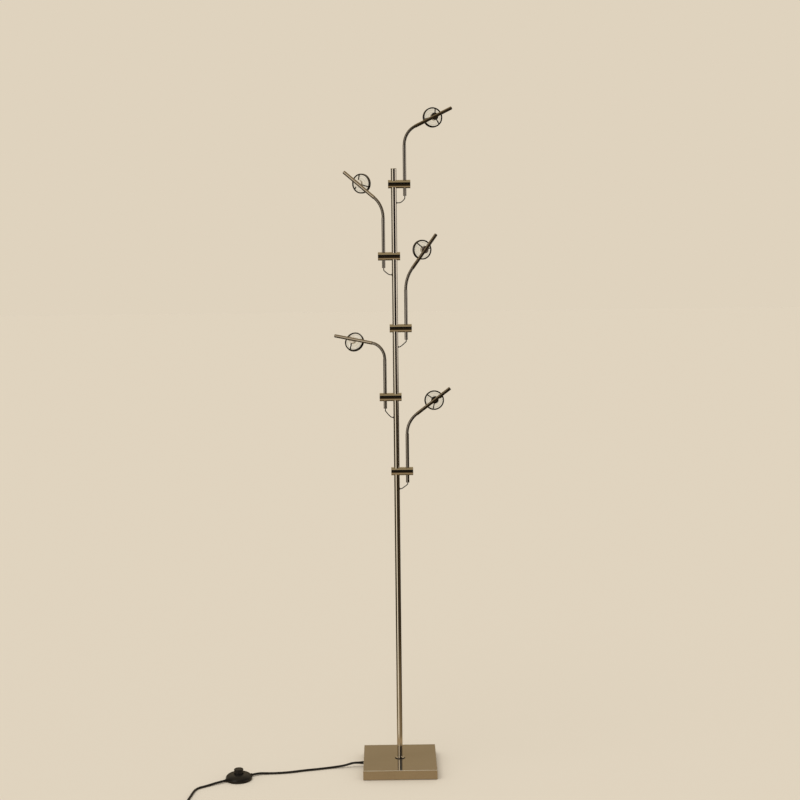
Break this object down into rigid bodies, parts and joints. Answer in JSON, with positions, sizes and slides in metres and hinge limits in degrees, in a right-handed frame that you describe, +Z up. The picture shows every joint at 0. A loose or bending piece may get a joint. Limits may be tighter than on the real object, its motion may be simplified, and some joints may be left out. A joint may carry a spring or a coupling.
{
  "type": "tree floor lamp",
  "caption": "Floor lamp with lens spotlights on goosenecks, clamped one above the other on a slim pole over a square base, with a foot switch on its cord.",
  "frame": {"origin": "on the pole's axis, on the floor", "axes": "+Z up along the pole, +X to the viewer's right, +Y away from the viewer, towards the wall that the lamp lights"},
  "size_m": [0.7161, 0.4644, 1.7971],
  "materials": {
    "nickel": "satin",
    "base_metal": "satin",
    "black_steel": "matte",
    "cast_weight": "as cast",
    "foot_rubber": "matte",
    "lens_glass": "clear",
    "white_plastic": "matte",
    "cord_black": "satin",
    "switch_black": "satin"
  },
  "bodies": {
    "root": {"base_cover": "base_metal", "base_plate": "black_steel", "base_feet": "foot_rubber", "base_weight": "cast_weight", "led_driver": "white_plastic", "pole": "nickel", "pole_nut": "black_steel", "pole_collar": "nickel", "pole_cap": "nickel", "clamps": "nickel", "arm_leads": "cord_black", "cord_relief": "cord_black", "mains_cord": "cord_black", "mains_cord_out": "cord_black", "cord_coil": "cord_black", "switch_base": "switch_black", "switch_cover": "switch_black", "mains_plug": "switch_black"},
    "button": {"switch_button": "switch_black"},
    "arm_1": {"arm_tube_1": "nickel"},
    "gooseneck_1": {"neck_1": "nickel"},
    "head_1": {"head_rod_1": "nickel", "led_holder_1": "nickel", "led_board_1": "white_plastic", "lens_frame_1": "nickel", "lens_1": "lens_glass"},
    "arm_2": {"arm_tube_2": "nickel"},
    "gooseneck_2": {"neck_2": "nickel"},
    "head_2": {"head_rod_2": "nickel", "led_holder_2": "nickel", "led_board_2": "white_plastic", "lens_frame_2": "nickel", "lens_2": "lens_glass"},
    "arm_3": {"arm_tube_3": "nickel"},
    "gooseneck_3": {"neck_3": "nickel"},
    "head_3": {"head_rod_3": "nickel", "led_holder_3": "nickel", "led_board_3": "white_plastic", "lens_frame_3": "nickel", "lens_3": "lens_glass"},
    "arm_4": {"arm_tube_4": "nickel"},
    "gooseneck_4": {"neck_4": "nickel"},
    "head_4": {"head_rod_4": "nickel", "led_holder_4": "nickel", "led_board_4": "white_plastic", "lens_frame_4": "nickel", "lens_4": "lens_glass"},
    "arm_5": {"arm_tube_5": "nickel"},
    "gooseneck_5": {"neck_5": "nickel"},
    "head_5": {"head_rod_5": "nickel", "led_holder_5": "nickel", "led_board_5": "white_plastic", "lens_frame_5": "nickel", "lens_5": "lens_glass"}
  },
  "joints": [
    {"name": "button_press", "type": "slide", "parent": "root", "child": "button", "axis": [0, 0, -1], "range_m": [0, 0.004], "stiffness_N_per_m": 400, "springref_m": -0.002},
    {"name": "arm_1_swivel", "type": "hinge", "parent": "root", "child": "arm_1", "pos_m": [0.029, 0, 1.592], "axis": [0, 0, 1], "range_deg": [-108, 72]},
    {"name": "neck_1_bend", "type": "hinge", "parent": "arm_1", "child": "gooseneck_1", "pos_m": [0.029, 0, 1.694], "axis": [-0.309, 0.9511, 0], "range_deg": [-32, 13], "deforming": ["neck_1"]},
    {"name": "head_1_bend", "type": "hinge", "parent": "gooseneck_1", "child": "head_1", "pos_m": [0.05817, 0.00948, 1.74308], "axis": [-0.309, 0.9511, 0], "range_deg": [-32, 13]},
    {"name": "arm_2_swivel", "type": "hinge", "parent": "root", "child": "arm_2", "pos_m": [-0.029, 0, 1.4025], "axis": [0, 0, -1], "range_deg": [-116, 64]},
    {"name": "neck_2_bend", "type": "hinge", "parent": "arm_2", "child": "gooseneck_2", "pos_m": [-0.029, 0, 1.5045], "axis": [-0.4384, -0.8988, 0], "range_deg": [-23, 19], "deforming": ["neck_2"]},
    {"name": "head_2_bend", "type": "hinge", "parent": "gooseneck_2", "child": "head_2", "pos_m": [-0.05222, 0.01132, 1.55746], "axis": [-0.4384, -0.8988, 0], "range_deg": [-23, 19]},
    {"name": "arm_3_swivel", "type": "hinge", "parent": "root", "child": "arm_3", "pos_m": [0.029, 0, 1.211], "axis": [0, 0, 1], "range_deg": [-112, 68]},
    {"name": "neck_3_bend", "type": "hinge", "parent": "arm_3", "child": "gooseneck_3", "pos_m": [0.029, 0, 1.313], "axis": [-0.3746, 0.9272, 0], "range_deg": [-17, 26], "deforming": ["neck_3"]},
    {"name": "head_3_bend", "type": "hinge", "parent": "gooseneck_3", "child": "head_3", "pos_m": [0.04708, 0.0073, 1.36963], "axis": [-0.3746, 0.9272, 0], "range_deg": [-17, 26]},
    {"name": "arm_4_swivel", "type": "hinge", "parent": "root", "child": "arm_4", "pos_m": [-0.029, 0, 1.0265], "axis": [0, 0, -1], "range_deg": [-115, 65]},
    {"name": "neck_4_bend", "type": "hinge", "parent": "arm_4", "child": "gooseneck_4", "pos_m": [-0.029, 0, 1.1285], "axis": [-0.4226, -0.9063, 0], "range_deg": [-40.5, 4.5], "deforming": ["neck_4"]},
    {"name": "head_4_bend", "type": "hinge", "parent": "gooseneck_4", "child": "head_4", "pos_m": [-0.06199, 0.01538, 1.17112], "axis": [-0.4226, -0.9063, 0], "range_deg": [-40.5, 4.5]},
    {"name": "arm_5_swivel", "type": "hinge", "parent": "root", "child": "arm_5", "pos_m": [0.029, 0, 0.825], "axis": [0, 0, 1], "range_deg": [-100, 80]},
    {"name": "neck_5_bend", "type": "hinge", "parent": "arm_5", "child": "gooseneck_5", "pos_m": [0.029, 0, 0.927], "axis": [-0.1736, 0.9848, 0], "range_deg": [-27, 18], "deforming": ["neck_5"]},
    {"name": "head_5_bend", "type": "hinge", "parent": "gooseneck_5", "child": "head_5", "pos_m": [0.05527, 0.00463, 0.97936], "axis": [-0.1736, 0.9848, 0], "range_deg": [-27, 18]}
  ],
  "couplings": [
    {"joint": "head_1_bend", "follows": "neck_1_bend", "ratio": 1},
    {"joint": "head_2_bend", "follows": "neck_2_bend", "ratio": 1},
    {"joint": "head_3_bend", "follows": "neck_3_bend", "ratio": 1},
    {"joint": "head_4_bend", "follows": "neck_4_bend", "ratio": 1},
    {"joint": "head_5_bend", "follows": "neck_5_bend", "ratio": 1}
  ]
}
